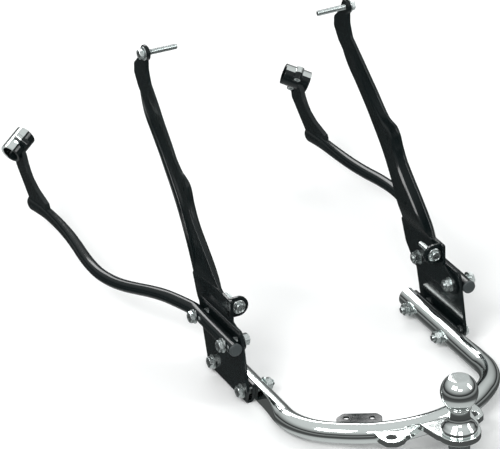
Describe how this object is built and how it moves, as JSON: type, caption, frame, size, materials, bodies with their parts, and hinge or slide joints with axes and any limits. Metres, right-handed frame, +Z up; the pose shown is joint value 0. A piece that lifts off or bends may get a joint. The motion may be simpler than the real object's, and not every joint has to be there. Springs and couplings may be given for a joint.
{
  "type": "motorcycle trailer hitch",
  "caption": "Motorcycle trailer hitch: tow ball on a bent chrome receiver tube, carried by bolted side plates, two struts and two long arms with frame clamps.",
  "frame": {"origin": "centre of the tow ball", "axes": "+Y forwards to the vehicle, +Z up along the ball's axis, +X to the vehicle's right"},
  "size_m": [0.5192, 0.9923, 0.4121],
  "materials": {
    "chrome": "mirror-bright plated steel",
    "gloss_black_paint": "gloss black powder coat on steel",
    "zinc_steel": "bright zinc-plated steel fasteners",
    "plug_plastic": "satin black plastic"
  },
  "bodies": {
    "hitch": {"receiver_tube": "chrome", "ball_mount_plate": "chrome", "hitch_ball": "chrome", "ball_lock_washer": "zinc_steel", "ball_nut": "zinc_steel", "connector_bracket": "gloss_black_paint", "left_tube_cap": "chrome", "left_side_plate": "gloss_black_paint", "left_strut": "gloss_black_paint", "left_arm_tube": "gloss_black_paint", "left_arm_sleeves": "zinc_steel", "left_arm_plug": "plug_plastic", "left_link_bar": "gloss_black_paint", "left_clamp_base": "gloss_black_paint", "left_clamp_screws": "zinc_steel", "left_upper_bolts": "zinc_steel", "left_upper_washers": "zinc_steel", "left_upper_nuts": "zinc_steel", "left_lower_bolts": "zinc_steel", "left_lower_washers": "zinc_steel", "left_lower_nuts": "zinc_steel", "left_lower_spacers": "zinc_steel", "left_tube_sleeves": "zinc_steel", "right_tube_cap": "chrome", "right_side_plate": "gloss_black_paint", "right_strut": "gloss_black_paint", "right_arm_tube": "gloss_black_paint", "right_arm_sleeves": "zinc_steel", "right_arm_plug": "plug_plastic", "right_link_bar": "gloss_black_paint", "right_clamp_base": "gloss_black_paint", "right_clamp_screws": "zinc_steel", "right_upper_bolts": "zinc_steel", "right_upper_washers": "zinc_steel", "right_upper_nuts": "zinc_steel", "right_lower_bolts": "zinc_steel", "right_lower_washers": "zinc_steel", "right_lower_nuts": "zinc_steel", "right_lower_spacers": "zinc_steel", "right_tube_sleeves": "zinc_steel"},
    "left_top_bolt_body": {"left_top_bolt": "zinc_steel"},
    "left_ear_bolt_body": {"left_ear_bolt": "zinc_steel"},
    "left_clamp_cap_body": {"left_clamp_cap": "chrome"},
    "right_top_bolt_body": {"right_top_bolt": "zinc_steel"},
    "right_ear_bolt_body": {"right_ear_bolt": "zinc_steel"},
    "right_clamp_cap_body": {"right_clamp_cap": "chrome"}
  },
  "joints": [
    {"name": "left_top_bolt_slide", "type": "slide", "parent": "hitch", "child": "left_top_bolt_body", "axis": [-1, 0.0066, 0.0057], "range_m": [0, 0.044]},
    {"name": "left_ear_bolt_slide", "type": "slide", "parent": "hitch", "child": "left_ear_bolt_body", "axis": [0, -1, 0], "range_m": [0, 0.035]},
    {"name": "left_clamp_cap_lift", "type": "slide", "parent": "hitch", "child": "left_clamp_cap_body", "axis": [-0.5772, 0.5699, 0.5849], "range_m": [0, 0.0065]},
    {"name": "right_top_bolt_slide", "type": "slide", "parent": "hitch", "child": "right_top_bolt_body", "axis": [1, 0.0066, 0.0057], "range_m": [0, 0.044]},
    {"name": "right_ear_bolt_slide", "type": "slide", "parent": "hitch", "child": "right_ear_bolt_body", "axis": [0, -1, 0], "range_m": [0, 0.035]},
    {"name": "right_clamp_cap_lift", "type": "slide", "parent": "hitch", "child": "right_clamp_cap_body", "axis": [0.5772, 0.5699, 0.5849], "range_m": [0, 0.0065]}
  ]
}
